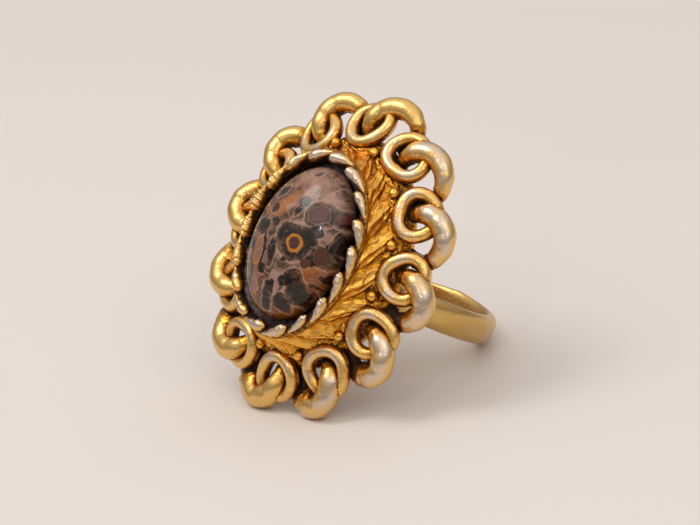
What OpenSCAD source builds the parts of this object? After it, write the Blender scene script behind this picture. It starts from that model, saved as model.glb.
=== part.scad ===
// Cocktail ring: an oval cabochon in a rope-edged cup on a domed head of interlocked links,
// with an open, bendable band. Millimetres. The ring lies as it rests on a table, floor at z = 0.
// Ring coordinates used by every shape below: x across the head, y along the finger,
// z straight out of the head, zero just inside the crown of the band where it meets the head.

/* [Stone] */
// Length of the cabochon along the finger
stone_length = 14.1; // [12:0.1:16]
// Width of the cabochon
stone_width = 10; // [8:0.1:11]
// Height of the polished dome above the girdle
dome_height = 3.1; // [2:0.1:4]
// Height of the girdle above the band
girdle_z = 4.3; // [4:0.1:4.8]
// Depth of the straight side below the girdle
girdle_depth = 1; // [0.6:0.1:1.1]

/* [Cup and rim] */
// Half width of the rope rim's centre line
rim_a = 6.58; // [6.2:0.01:7]
// Half length of the rope rim's centre line
rim_b = 8.42; // [8:0.01:9]
// Height of the rope rim's centre line
rim_z = 4.8; // [4.5:0.05:5.2]
// Number of grains in the rope rim
rope_grains = 18; // [14:1:24]
// Half thickness of a rope grain
rope_r = 0.52; // [0.4:0.01:0.6]
// Height of the cup's floor, where the stone's cement lies
cup_floor_z = 2.9; // [2.6:0.1:3]
// Thickness of the cup's wall
cup_wall = 0.4; // [0.3:0.05:0.5]

/* [Head plate] */
// Underside of the head plate
plate_bottom_z = -0.45; // [-0.8:0.05:-0.3]
// Height of the plate's crown at the foot of the cup
plate_top_z = 2.2; // [1.8:0.05:2.4]

/* [Links] */
// Number of links round the head
link_count = 12; // [10:1:14]
// Half width of the oval on which the inner links are centred
link_a = 9.67; // [9.4:0.01:10]
// Half length of the oval on which the inner links are centred
link_b = 11.98; // [11.6:0.01:12.4]
// Height of an inner link's centre
link_z = 1.12; // [0.9:0.01:1.4]
// Centre line radius of an inner link
inner_r = 1.85; // [1.6:0.01:2]
// Wire radius of an inner link
inner_wire_r = 0.63; // [0.45:0.01:0.65]
// Tilt of an inner link, raising its side next to the cup
inner_tilt = 22; // [0:1:30]
// Turn of the first link round the oval, as a fraction of one turn
link_phase = -0.064; // [-0.08:0.001:0.08]
// Reach of an outer link's arch away from the head, from its middle to its centre line
outer_reach = 2.42; // [2.1:0.01:2.6]
// Half length of an outer link's arch round the head, on the ends of the oval
outer_run = 2.45; // [2.2:0.01:2.6]
// How much further out, and shorter, the arches are on the long sides of the oval
side_stretch = 0.45; // [0:0.01:0.6]
// Half thickness of an outer link, in the plane of the head
outer_half_thick = 1.03; // [0.6:0.01:1.05]
// Half depth of an outer link, square to the plane of the head
outer_half_deep = 1; // [0.7:0.01:1.1]
// How much thicker the outer links are towards the lower end of the head
low_swell = 0.12; // [0:0.01:0.2]

/* [Beads] */
// Radius of a bead between two inner links
bead_r = 0.5; // [0.35:0.01:0.6]
// Height of a bead's centre
bead_z = 2.1; // [1.8:0.05:2.6]

/* [Band] */
// Inside radius of the band
finger_r = 8.7; // [8.2:0.05:9.2]
// Thickness of the band at its crown
band_thick = 1.3; // [1:0.05:1.4]
// Width of the band along the finger
band_width = 2.77; // [2.4:0.01:3.2]
// Thickness of the band at its edges
band_edge = 0.5; // [0.3:0.05:0.8]
// How far the band sits below the middle of the head
band_shift = 0.76; // [0:0.01:1]
// Angle of the first tapered end past the back of the band
tip_angle = 33; // [20:1:40]
// Angle taken out of the band by its opening
opening_angle = 14; // [8:1:20]

/* [Rest] */
// Lean of the head back from upright
lean = 32.49; // [30:0.01:40]
// Turn of the head in its own plane, which brings the lowest links to the floor
spin = -15.63; // [-20:0.01:20]
// Shift that puts the middle of the ring's footprint over the origin
rest_x = 0.028; // [-10:0.001:10]
rest_y = -3.866; // [-20:0.001:20]
rest_z = 12.442; // [8:0.001:16]

/* [Hidden] */
function two(n) = n < 10 ? str("0", n) : str(n);
function names(stem, count) = [for (k = [1 : count]) str(stem, two(k))];

gold = [0.78, 0.56, 0.2];
pale_gold = [0.82, 0.7, 0.46];
dark_gold = [0.5, 0.31, 0.1];
jasper = [0.23, 0.16, 0.14];
cement_grey = [0.33, 0.28, 0.3];

stone_a = stone_width / 2;
stone_b = stone_length / 2;
band_outer_r = finger_r + band_thick;
// Height of the band's crown where it is soldered into the head plate
crown_z = 0.1;
band_axis_z = crown_z - band_outer_r;
// The cup's outside lies a little inside the rope's centre line, and its edge a little below it
cup_inset = 0.15;
cup_outer_a = rim_a - cup_inset;
cup_outer_b = rim_b - cup_inset;
cup_inner_a = cup_outer_a - cup_wall;
cup_inner_b = cup_outer_b - cup_wall;
cup_top_z = rim_z - 0.3;
oval_sides = 72;

// ---- Ovals, and equal spacing round them ----
function oval(a, b, t, z = 0) = [a * sin(t), b * cos(t), z];
arc_steps = 360;
function step_length(a, b, i) = norm(oval(a, b, i + 1) - oval(a, b, i));
function arc_table(a, b) =
    [for (i = 0, s = 0; i <= arc_steps; s = s + step_length(a, b, i), i = i + 1) [s, i]];
function turn_at(a, b, fraction) =
    let (table = arc_table(a, b), whole = table[arc_steps][0], f = fraction - floor(fraction))
    lookup(f * whole, table);

// ---- Closed skins made of rings of points ----
function wrap(i, n) = (i + n) % n;
function side_faces(rings, sides, closed) = [
    for (i = [0 : (closed ? rings - 1 : rings - 2)])
    for (j = [0 : sides - 1])
    for (half = [0, 1])
    let (
        p = i * sides + j,
        q = i * sides + wrap(j + 1, sides),
        r = wrap(i + 1, rings) * sides + j,
        s = wrap(i + 1, rings) * sides + wrap(j + 1, sides)
    )
    half == 0 ? [p, r, q] : [q, r, s]
];
function cap_faces(rings, sides) = [
    [for (j = [0 : sides - 1]) j],
    [for (j = [sides - 1 : -1 : 0]) (rings - 1) * sides + j]
];
module skin(rings, closed = false) {
    n = len(rings);
    m = len(rings[0]);
    polyhedron(
        points = [for (ring = rings) for (p = ring) p],
        faces = closed ? side_faces(n, m, true) : concat(side_faces(n, m, false), cap_faces(n, m)),
        convexity = 10
    );
}
module oval_prism(a, b, z0, z1) {
    translate([0, 0, z0])
        linear_extrude(height = z1 - z0)
            polygon([for (j = [0 : oval_sides - 1]) [a * sin(j * 360 / oval_sides), b * cos(j * 360 / oval_sides)]]);
}

// ---- Rest pose ----
module at_rest() {
    translate([rest_x, rest_y, rest_z])
        rotate([90 - lean, 0, 0])
            rotate([0, 0, spin])
                children();
}

// ---- Stone ----
stone_sides = 48;
stone_levels = 9;
// Outline of the dome: a little fuller than an ellipse
dome_power = 2.1;
// Size of the flat underside, and how much of the girdle's depth is bevelled down to it
base_scale = 0.95;
bevel_share = 0.3;
function dome_scale(f) = sqrt(1 - pow(f, dome_power));
function stone_ring(scale, z) = [
    for (j = [stone_sides - 1 : -1 : 0])
    oval(stone_a * scale, stone_b * scale, j * 360 / stone_sides, z)
];
module stone_body() {
    color(jasper)
        skin(concat(
            [
                stone_ring(base_scale, girdle_z - girdle_depth),
                stone_ring(1, girdle_z - girdle_depth * (1 - bevel_share))
            ],
            [for (i = [0 : stone_levels - 1])
                let (f = sin(90 * i / (stone_levels - 0.5)))
                stone_ring(dome_scale(f), girdle_z + dome_height * f)]
        ));
}

// ---- Cement bed that holds the stone in the cup ----
module stone_cement_body() {
    color(cement_grey)
        oval_prism(cup_inner_a, cup_inner_b, cup_floor_z, girdle_z - girdle_depth);
}

// ---- Setting cup ----
module setting_cup_body() {
    color(dark_gold)
        difference() {
            oval_prism(cup_outer_a, cup_outer_b, plate_top_z, cup_top_z);
            oval_prism(cup_inner_a, cup_inner_b, cup_floor_z, cup_top_z + 1);
        }
}

// ---- Leaf collar: pointed leaves leaning on the outside of the cup ----
leaf_sides = rope_grains * 6;
collar_foot = 1.05;
collar_lip = 0.35;
leaf_ridge = 0.22;
collar_bottom_z = plate_top_z - 0.15;
collar_top_z = rim_z - 0.35;
// One ring of the collar; turn is how far its leaves have leaned round by that height.
function collar_ring(grow, ridge, z, turn) = [
    for (j = [leaf_sides - 1 : -1 : 0])
    let (
        t = j * 360 / leaf_sides,
        g = grow + ridge * abs(cos((t + turn) * rope_grains / 2))
    )
    oval(cup_outer_a + g, cup_outer_b + g, t, z)
];
module leaf_collar_body() {
    color(gold)
        skin([
            collar_ring(0, 0, collar_bottom_z, 0),
            collar_ring(collar_foot, leaf_ridge, collar_bottom_z, 0),
            collar_ring(collar_foot * 0.85, leaf_ridge, collar_bottom_z + 0.5, 2),
            collar_ring(collar_foot * 0.5, leaf_ridge, collar_bottom_z + 1.25, 5),
            collar_ring(collar_lip, leaf_ridge * 0.6, collar_top_z, 9),
            collar_ring(0, 0, collar_top_z, 9)
        ], true);
}

// ---- Rope rim ----
rope_steps = rope_grains * 8;
rope_sides = 8;
grain_slant = 0.2;
function grain_at(i) = let (f = i * rope_grains / rope_steps) f - floor(f);
function grain_swell(f) = 0.62 + 0.38 * sin(180 * pow(f, 0.8));
function rope_ring(i) =
    let (
        t = i * 360 / rope_steps,
        f = grain_at(i),
        c = oval(rim_a, rim_b, t, rim_z),
        n = [rim_b * sin(t), rim_a * cos(t), 0],
        out = n / norm(n),
        r = rope_r * grain_swell(f),
        slide = grain_slant * (f - 0.5)
    )
    [for (j = [0 : rope_sides - 1])
        let (q = j * 360 / rope_sides)
        c + out * (slide + r * cos(q)) + [0, 0, r * sin(q)]];
module rope_rim_body() {
    color(pale_gold)
        skin([for (i = [rope_steps - 1 : -1 : 0]) rope_ring(i)], true);
}

// ---- Head plate: a solid oval dome under the cup and the inner links ----
// The plate and the beads stand out from the rim a little further at the ends of the oval.
end_grow = 1.08;
function plate_ring(grow, z) = [
    for (j = [oval_sides - 1 : -1 : 0])
    oval(rim_a + grow, rim_b + grow * end_grow, j * 360 / oval_sides, z)
];
module head_plate_body() {
    color(dark_gold)
        skin([
            plate_ring(1.9, plate_bottom_z),
            plate_ring(2.25, plate_bottom_z + 0.4),
            plate_ring(2.3, plate_bottom_z + 1),
            plate_ring(1.95, plate_bottom_z + 1.75),
            plate_ring(1.45, plate_top_z - 0.25),
            plate_ring(0.95, plate_top_z)
        ]);
}

// ---- Links ----
function link_turn(k) = turn_at(link_a, link_b, (k + 0.5) / link_count + link_phase);
module at_link(k) {
    t = link_turn(k);
    heading = atan2(-link_b * sin(t), link_a * cos(t));
    translate(oval(link_a, link_b, t))
        rotate([0, 0, heading])
            children();
}
module inner_link(k) {
    color(pale_gold)
        at_link(k)
            translate([0, 0, link_z])
                rotate([-inner_tilt, 0, 0])
                    rotate_extrude()
                        translate([inner_r, 0])
                            circle(r = inner_wire_r);
}

// An outer link is a horn: it comes up through the inner link, arches outward over it,
// and runs down to a thin tail that is soldered under the next inner link.
arch_start_back = 0.2;
arch_drop = -0.25;
function side_share(k) = pow(sin(link_turn(k)), 2);
function horn_size(k) = 1 + low_swell * (1 - cos(link_turn(k))) / 2;
function arch_run(k) = outer_run - side_stretch * side_share(k);
function arch_centre(k) = [arch_run(k) - arch_start_back, arch_drop + side_stretch * side_share(k)];
arch_from = 205;
arch_to = 12;
arch_steps = 15;
tail_steps = 3;
horn_sides = 10;
function arch_angle(i) = arch_from + (arch_to - arch_from) * i / arch_steps;
// Height of the horn's middle against how far along the arch it is.
function arch_height(f) = lookup(f, [
    [0, 0.6], [0.12, 0.8], [0.27, 0.82], [0.42, 0.6], [0.62, 0.3], [0.8, 0.12], [1, -0.05]
]);
// Swell of the horn across and in depth, against how far along the arch it is.
function arch_swell(f) = lookup(f, [
    [0, 0.4], [0.06, 0.8], [0.13, 0.96], [0.3, 1], [0.5, 0.86], [0.7, 0.78], [0.88, 0.66], [1, 0.55]
]);
function arch_depth(f) = lookup(f, [
    [0, 0.4], [0.06, 0.8], [0.13, 0.96], [0.3, 1], [0.5, 0.98], [0.7, 0.92], [0.88, 0.76], [1, 0.6]
]);
// The tail, from the end of the arch to the plate: distance round, distance out, height.
function tail_path(k) = let (e = arch_centre(k).x + arch_run(k)) [
    [e - 0.15, -0.5, -0.05], [e - 0.6, -1.25, 0.05], [e - 1.2, -1.9, 0.3]
];
tail_swell = [0.5, 0.45, 0.4];
horn_last = arch_steps + tail_steps;
function horn_point(k, i) =
    i <= arch_steps
    ? let (q = arch_angle(i), c = arch_centre(k))
      [c.x + arch_run(k) * cos(q), c.y + outer_reach * sin(q), arch_height(i / arch_steps)]
    : tail_path(k)[i - arch_steps - 1];
function horn_half(i) =
    i <= arch_steps
    ? [outer_half_thick * arch_swell(i / arch_steps), outer_half_deep * arch_depth(i / arch_steps)]
    : [outer_half_thick, outer_half_deep] * tail_swell[i - arch_steps - 1];
function horn_ring(k, i) =
    let (
        here = horn_point(k, i),
        ahead = horn_point(k, min(i + 1, horn_last)),
        back = horn_point(k, max(i - 1, 0)),
        run = (ahead - back) / norm(ahead - back),
        side = cross([0, 0, 1], run) / norm(cross([0, 0, 1], run)),
        top = cross(run, side),
        half = horn_half(i) * horn_size(k)
    )
    [for (j = [0 : horn_sides - 1])
        let (q = j * 360 / horn_sides)
        here + side * (half.x * cos(q)) + top * (half.y * sin(q))];
module outer_link(k) {
    color(gold)
        at_link(k)
            skin([for (i = [0 : horn_last]) horn_ring(k, i)]);
}

// ---- Beads ----
bead_grow = 1.45;
module bead(k) {
    a = rim_a + bead_grow;
    b = rim_b + bead_grow * end_grow;
    color(gold)
        translate(oval(a, b, turn_at(a, b, k / link_count + link_phase), bead_z))
            sphere(r = bead_r);
}

// ---- Band ----
band_rise = band_thick - band_edge;
band_crown_r = (pow(band_width / 2, 2) + pow(band_rise, 2)) / (2 * band_rise);
// How far the taper at each end of the band runs, and the half width left at the tip.
taper_run = 5.4;
tip_half = 0.45;
taper_slope = atan((band_width / 2 - tip_half) / taper_run);
module band_hoop() {
    rotate([90, 0, 0])
        rotate([0, 0, 270 - tip_angle])
            rotate_extrude(angle = 360 - opening_angle)
                intersection() {
                    translate([band_outer_r - band_crown_r, 0])
                        circle(r = band_crown_r);
                    translate([finger_r, -band_width / 2])
                        square([band_thick, band_width]);
                }
}
// A block whose face runs along one tapered edge; reach is how deep it spans the curved band.
reach = 4;
module taper_block() {
    translate([0, tip_half, -band_outer_r])
        rotate([0, 0, taper_slope])
            translate([-1, 0, -reach / 4])
                cube([taper_run + 2, band_width, reach]);
}
// Both edges of one end. From the tip at the given angle the band runs towards +x before turning.
module taper(angle, flip) {
    rotate([0, -angle, 0])
        mirror([flip, 0, 0]) {
            taper_block();
            mirror([0, 1, 0]) taper_block();
        }
}
module band_body() {
    color(gold)
        translate([0, -band_shift, band_axis_z])
            difference() {
                band_hoop();
                taper(-tip_angle, 0);
                taper(-tip_angle - opening_angle, 1);
            }
}

at_rest() stone_body();  // stone
at_rest() stone_cement_body();  // stone_cement
at_rest() setting_cup_body();  // setting_cup
at_rest() leaf_collar_body();  // leaf_collar
at_rest() rope_rim_body();  // rope_rim
at_rest() head_plate_body();  // head_plate
at_rest() band_body();  // band
for (k = [1 : link_count]) {
    at_rest() inner_link(k - 1);
    at_rest() outer_link(k - 1);
    at_rest() bead(k - 1);
}
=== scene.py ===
import math
import bpy
from mathutils import Matrix, Vector, noise
from mathutils.bvhtree import BVHTree


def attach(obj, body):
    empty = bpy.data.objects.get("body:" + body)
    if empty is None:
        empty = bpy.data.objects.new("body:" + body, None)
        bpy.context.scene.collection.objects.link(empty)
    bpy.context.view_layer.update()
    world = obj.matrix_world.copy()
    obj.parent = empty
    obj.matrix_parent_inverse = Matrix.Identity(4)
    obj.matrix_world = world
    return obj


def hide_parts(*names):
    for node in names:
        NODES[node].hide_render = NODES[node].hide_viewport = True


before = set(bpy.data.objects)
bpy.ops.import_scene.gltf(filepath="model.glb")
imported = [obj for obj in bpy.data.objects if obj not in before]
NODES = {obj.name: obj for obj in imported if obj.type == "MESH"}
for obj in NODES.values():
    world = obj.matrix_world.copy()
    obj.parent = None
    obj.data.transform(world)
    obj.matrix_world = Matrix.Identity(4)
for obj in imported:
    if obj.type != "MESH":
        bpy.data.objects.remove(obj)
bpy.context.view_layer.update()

MM = 0.001
UP = Vector((0, 0, 1))

# ---- How the ring lies at rest, as in part.scad (degrees and mm) ----
LEAN = 32.49
SPIN = -15.63
REST_SHIFT = (0.028, -3.866, 12.442)
REST_TURN = Matrix.Rotation(math.radians(90 - LEAN), 3, 'X') @ Matrix.Rotation(math.radians(SPIN), 3, 'Z')
RING_TO_WORLD = Matrix.Translation(Vector(REST_SHIFT) * MM) @ REST_TURN.to_4x4() @ Matrix.Scale(MM, 4)

# ---- The ring's own sizes (mm): x across the head, y along the finger, z out of the head ----
# Rope rim: half width, half length and height of its middle line, its number of grains and its way round
RIM_A, RIM_B, RIM_Z = 6.58, 8.42, 4.8
GRAINS = 18
RIM_ROUND = 47.4
# Oval of the inner links' centres, their number, and the first one's turn as a share of the way round
LINK_A, LINK_B, LINK_Z = 9.67, 11.98, 1.12
LINKS = 12
PHASE = -0.064
# Stone: half width, half length, height of its girdle, and rise of the dome above that
STONE_A, STONE_B, GIRDLE_Z, DOME = 5.08, 7.13, 4.3, 3.1
# Head plate: height of its top and of its underside, and how much faster it grows lengthwise
PLATE_TOP = 2.2
PLATE_UNDER = -0.45
LENGTHWISE = 1.08
# Band: inside radius, thickness, width, shift along the finger and height of the finger's axis
FINGER_R, BAND_T, BAND_W, BAND_SHIFT, AXIS_Z = 8.7, 1.3, 2.77, 0.76, -9.9
# Band ends: angle of the first tip, opening (degrees), length of the taper and half width at the tip
TIP_TURN, OPENING, TAPER, TIP_HALF = 33.0, 14.0, 5.4, 0.45


# ---- Small helpers ----
def clamp(x, a=0.0, b=1.0):
    return max(a, min(b, x))


def smooth(a, b, x):
    """0 at a, 1 at b, and an even S between them."""
    t = clamp((x - a) / (b - a))
    return t * t * (3 - 2 * t)


def lerp(a, b, t):
    return a + (b - a) * t


def table(points, x):
    """Smooth interpolation through (x, y) pairs."""
    if x <= points[0][0]:
        return points[0][1]
    for (x0, y0), (x1, y1) in zip(points, points[1:]):
        if x <= x1:
            return lerp(y0, y1, smooth(x0, x1, x))
    return points[-1][1]


def fbm(p, scale, octaves=3):
    """Smooth noise from about -1 to 1."""
    v, amp, total = 0.0, 1.0, 0.0
    q = p * scale
    for _ in range(octaves):
        v += amp * noise.noise(q)
        total += amp
        amp *= 0.5
        q = q * 2.03 + Vector((3.1, 1.7, 5.3))
    return v / total


def oval(a, b, t, z=0.0):
    """Point on an oval, clockwise from +y."""
    return Vector((a * math.sin(t), b * math.cos(t), z))


def oval_out(a, b, t):
    """Outward direction of an oval at that point."""
    return Vector((b * math.sin(t), a * math.cos(t), 0)).normalized()


def even_turns(a, b, n, start):
    """Angles of n points evenly spaced round an oval, clockwise from +y."""
    steps = 720
    run = [0.0]
    for i in range(steps):
        here = oval(a, b, 2 * math.pi * i / steps)
        ahead = oval(a, b, 2 * math.pi * (i + 1) / steps)
        run.append(run[-1] + (ahead - here).length)
    out = []
    for k in range(n):
        want = ((k + start) / n) % 1.0 * run[-1]
        i = max(j for j in range(steps) if run[j] <= want)
        out.append(2 * math.pi * (i + (want - run[i]) / (run[i + 1] - run[i])) / steps)
    return out


LINK_TURNS = even_turns(LINK_A, LINK_B, LINKS, 0.5 + PHASE * LINKS)


def link_frame(k):
    """Centre, clockwise direction and outward direction of link k."""
    t = LINK_TURNS[k]
    along = Vector((LINK_A * math.cos(t), -LINK_B * math.sin(t), 0)).normalized()
    return oval(LINK_A, LINK_B, t), along, Vector((-along.y, along.x, 0))


# Every piece, with the CAD node that it stands for
PIECES = []


def signed_volume(verts, faces):
    """Six times the volume, negative where the faces look inward."""
    total = 0.0
    for f in faces:
        for i in range(1, len(f) - 1):
            total += Vector(verts[f[0]]).dot(Vector(verts[f[i]]).cross(Vector(verts[f[i + 1]])))
    return total


def make(name, verts, faces, wear_and_highlight, material, node, patina_and_shade=None):
    """One piece from points in ring coordinates.

    The two lists are 0 to 1 for each point: how far its plating is rubbed and painted pale as highlight, and
    how much patina and painted shade sit there.
    """
    me = bpy.data.meshes.new(name)
    if signed_volume(verts, faces) < 0:
        faces = [tuple(reversed(f)) for f in faces]
    me.from_pydata([RING_TO_WORLD @ Vector(v) for v in verts], [], faces)
    me.validate()
    me.update()
    for label, values in (("wear_and_highlight", wear_and_highlight), ("patina_and_shade", patina_and_shade)):
        at = me.attributes.new(label, 'FLOAT', 'POINT')
        at.data.foreach_set("value", values if values else [0.0] * len(verts))
    me.polygons.foreach_set("use_smooth", [True] * len(me.polygons))
    me.materials.append(material)
    ob = bpy.data.objects.new(name, me)
    bpy.context.scene.collection.objects.link(ob)
    PIECES.append((ob, node))


def tube(rings, closed=False):
    """Points and faces of a skin over rings of points, with a fan on an added middle point at each open end."""
    n, m = len(rings), len(rings[0])
    verts = [p for r in rings for p in r]
    faces = []
    for i in range(n if closed else n - 1):
        here, ahead = i * m, (i + 1) % n * m
        for j in range(m):
            side = (j + 1) % m
            faces.append((here + j, here + side, ahead + side, ahead + j))
    if not closed:
        for row, flip in ((0, True), (n - 1, False)):
            verts.append(sum((Vector(p) for p in rings[row]), Vector()) / m)
            middle = len(verts) - 1
            for j in range(m):
                a, b = row * m + j, row * m + (j + 1) % m
                faces.append((b, a, middle) if flip else (a, b, middle))
    return verts, faces


# ---- Node helpers ----
def new_mat(name):
    m = bpy.data.materials.new(name)
    m.use_nodes = True
    nt = m.node_tree
    nt.nodes.clear()
    out = nt.nodes.new('ShaderNodeOutputMaterial')
    bs = nt.nodes.new('ShaderNodeBsdfPrincipled')
    nt.links.new(bs.outputs[0], out.inputs[0])
    return m, nt, bs


def mapping(nt, vec, place, turn, scale):
    """Coordinates in a frame that is scaled, turned and then placed."""
    mp = nt.nodes.new('ShaderNodeMapping')
    mp.vector_type = 'TEXTURE'
    mp.inputs['Location'].default_value = place
    mp.inputs['Rotation'].default_value = turn
    mp.inputs['Scale'].default_value = scale
    nt.links.new(vec, mp.inputs['Vector'])
    return mp.outputs[0]


def object_coords(nt):
    return nt.nodes.new('ShaderNodeTexCoord').outputs['Object']


def ring_coords(nt):
    """The ring's own coordinates in millimetres at the shaded point."""
    return mapping(nt, object_coords(nt), Vector(REST_SHIFT) * MM, REST_TURN.to_euler('XYZ'), (MM, MM, MM))


def socket(nt, inp, value):
    """A plain number or tuple is set on the socket, and anything else is linked to it."""
    if isinstance(value, (int, float, tuple)):
        inp.default_value = value
    else:
        nt.links.new(value, inp)


def node_noise(nt, vec, scale, detail=3.0, rough=0.5, distort=0.0, output='Fac'):
    n = nt.nodes.new('ShaderNodeTexNoise')
    n.inputs['Scale'].default_value = scale
    n.inputs['Detail'].default_value = detail
    n.inputs['Roughness'].default_value = rough
    n.inputs['Distortion'].default_value = distort
    nt.links.new(vec, n.inputs['Vector'])
    return n.outputs[output]


def cells(nt, vec, feature, scale):
    n = nt.nodes.new('ShaderNodeTexVoronoi')
    n.feature = feature
    n.inputs['Scale'].default_value = scale
    nt.links.new(vec, n.inputs['Vector'])
    return n


def math_node(nt, op, a, b=0.0, c=None, clamp_it=False):
    n = nt.nodes.new('ShaderNodeMath')
    n.operation = op
    n.use_clamp = clamp_it
    socket(nt, n.inputs[0], a)
    socket(nt, n.inputs[1], b)
    if c is not None:
        socket(nt, n.inputs[2], c)
    return n.outputs[0]


def vector_math(nt, op, a, b=None, c=None):
    n = nt.nodes.new('ShaderNodeVectorMath')
    n.operation = op
    for inp, value in zip(n.inputs, (a, b, c)):
        if value is not None:
            socket(nt, inp, value)
    return n.outputs['Value' if op == 'LENGTH' else 'Vector']


def times(nt, a, b):
    return math_node(nt, 'MULTIPLY', a, b)


def one_minus(nt, a):
    return math_node(nt, 'SUBTRACT', 1.0, a)


def centred(nt, a):
    """Noise moved to lie about zero."""
    return math_node(nt, 'SUBTRACT', a, 0.5)


def nudged(nt, a, by, amount):
    """a with some of the noise by added."""
    return math_node(nt, 'MULTIPLY_ADD', by, amount, a)


def remap(nt, v, lo, hi, to_lo=0.0, to_hi=1.0, kind='SMOOTHSTEP'):
    n = nt.nodes.new('ShaderNodeMapRange')
    n.interpolation_type = kind
    n.inputs['From Min'].default_value = lo
    n.inputs['From Max'].default_value = hi
    n.inputs['To Min'].default_value = to_lo
    n.inputs['To Max'].default_value = to_hi
    nt.links.new(v, n.inputs['Value'])
    return n.outputs['Result']


def line_at(nt, distance, at, width):
    """1 where distance equals at, fading out over width to either side."""
    away = math_node(nt, 'ABSOLUTE', math_node(nt, 'SUBTRACT', distance, at))
    return one_minus(nt, remap(nt, away, 0.0, width))


def mix(nt, fac, a, b):
    n = nt.nodes.new('ShaderNodeMix')
    n.data_type = 'RGBA'
    socket(nt, n.inputs['Factor'], fac)
    for inp, v in ((n.inputs['A'], a), (n.inputs['B'], b)):
        socket(nt, inp, (*v, 1.0) if isinstance(v, tuple) else v)
    return n.outputs['Result']


def attribute(nt, name):
    a = nt.nodes.new('ShaderNodeAttribute')
    a.attribute_name = name
    return a.outputs['Fac']


def bump(nt, bs, height, strength, distance):
    b = nt.nodes.new('ShaderNodeBump')
    b.inputs['Strength'].default_value = strength
    b.inputs['Distance'].default_value = distance
    nt.links.new(height, b.inputs['Height'])
    nt.links.new(b.outputs[0], bs.inputs['Normal'])


# ---- Old gold plate ----
# Gilt colours: the pale silver is rubbed plating and also painted highlight, and the brown-black is patina and
# also painted shade.
GOLD = (0.82, 0.52, 0.17)
GOLD_DEEP = (0.60, 0.235, 0.014)
SILVER_AND_HIGHLIGHT = (0.68, 0.56, 0.45)
PATINA_AND_SHADE = (0.042, 0.015, 0.004)
RUST = (0.20, 0.065, 0.008)


def gilt(name, rough, wear_and_highlight_gain, patina_and_shade_gain, grain, tone=GOLD, speck=0.4, fleck=1.0):
    """Deep orange where sheltered and underneath, brown-black in the recesses, pale on high points and tops:
    part patina and rubbed plating, part painted shade and painted highlight.

    speck is how rusty its spots are, and fleck is how patchy the rubbing, the patina and the painted light are.
    """
    m, nt, bs = new_mat(name)
    co = ring_coords(nt)
    broad = node_noise(nt, co, 0.9, 4.0, 0.55)
    fine = node_noise(nt, co, 5.0, 6.0, 0.66)
    pits = node_noise(nt, co, 8.0, 4.0, 0.7, 0.6)
    mottle = centred(nt, fine)
    cloud = centred(nt, broad)
    # Patina, and painted shade in hollows, between parts and on undersides
    uneven = nudged(nt, times(nt, attribute(nt, "patina_and_shade"), patina_and_shade_gain), mottle, 1.1 * fleck)
    deep = remap(nt, uneven, 0.42, 0.74)
    warm = remap(nt, nudged(nt, uneven, cloud, 0.7), 0.06, 0.46)
    # Rubbing, and painted highlights on tops and high points
    rubbed_and_highlighted = nudged(nt, times(nt, attribute(nt, "wear_and_highlight"), wear_and_highlight_gain), mottle, 0.5 * fleck)
    rub_and_highlight = remap(nt, nudged(nt, rubbed_and_highlighted, cloud, 1.3 * fleck), 0.42, 0.86, 0.0, 0.92)
    spots = remap(nt, nudged(nt, pits, cloud, 0.3), 0.61, 0.70, 0.0, speck * 2)
    # The same mask paints deep orange in sheltered places and on undersides: painted shade tinted like
    # reflected gold.
    col = mix(nt, warm, tone, GOLD_DEEP)
    col = mix(nt, rub_and_highlight, col, SILVER_AND_HIGHLIGHT)
    col = mix(nt, spots, col, RUST)
    col = mix(nt, deep, col, PATINA_AND_SHADE)
    nt.links.new(col, bs.inputs['Base Color'])
    nt.links.new(math_node(nt, 'MULTIPLY_ADD', deep, -0.6, 1.0, clamp_it=True), bs.inputs['Metallic'])
    dull = math_node(nt, 'MULTIPLY_ADD', mottle, 0.35, rough)
    nt.links.new(math_node(nt, 'MULTIPLY_ADD', deep, 0.35, dull, clamp_it=True), bs.inputs['Roughness'])
    height = nudged(nt, times(nt, broad, 0.8), fine, 0.8)
    bump(nt, bs, nudged(nt, height, spots, -0.4), 0.5 * grain, 0.00012)
    return m


MAT_PLATE = gilt("gilt_ground", 0.22, 0.45, 0.84, 0.6, tone=(0.86, 0.46, 0.085), speck=0.45)
MAT_LINK = gilt("gilt_links", 0.20, 0.8, 1.05, 0.6)
MAT_ROPE = gilt("gilt_rope", 0.22, 1.0, 1.1, 0.9, speck=0.45)
MAT_BAND = gilt("gilt_band", 0.27, 0.7, 0.7, 0.3, tone=(0.66, 0.42, 0.14), speck=0.08, fleck=0.5)


# ---- Cup and cement ----
def dark_cup():
    m, nt, bs = new_mat("cup_inside")
    n = node_noise(nt, ring_coords(nt), 3.0, 5.0, 0.6)
    col = mix(nt, remap(nt, n, 0.45, 0.7), (0.02, 0.012, 0.008), (0.2, 0.09, 0.02))
    nt.links.new(col, bs.inputs['Base Color'])
    bs.inputs['Metallic'].default_value = 0.6
    nt.links.new(remap(nt, n, 0.3, 0.7, 0.45, 0.75), bs.inputs['Roughness'])
    bump(nt, bs, n, 0.5, 0.0001)
    return m


def cement():
    m, nt, bs = new_mat("old_cement")
    co = ring_coords(nt)
    lumps = node_noise(nt, co, 2.6, 6.0, 0.65)
    grit = node_noise(nt, co, 9.0, 3.0, 0.6)
    col = mix(nt, remap(nt, lumps, 0.38, 0.66), (0.026, 0.018, 0.018), (0.21, 0.155, 0.165))
    col = mix(nt, remap(nt, grit, 0.62, 0.72), col, (0.42, 0.36, 0.36))
    nt.links.new(col, bs.inputs['Base Color'])
    nt.links.new(remap(nt, grit, 0.3, 0.7, 0.28, 0.6), bs.inputs['Roughness'])
    bump(nt, bs, math_node(nt, 'ADD', lumps, grit), 0.8, 0.00015)
    return m


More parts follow.
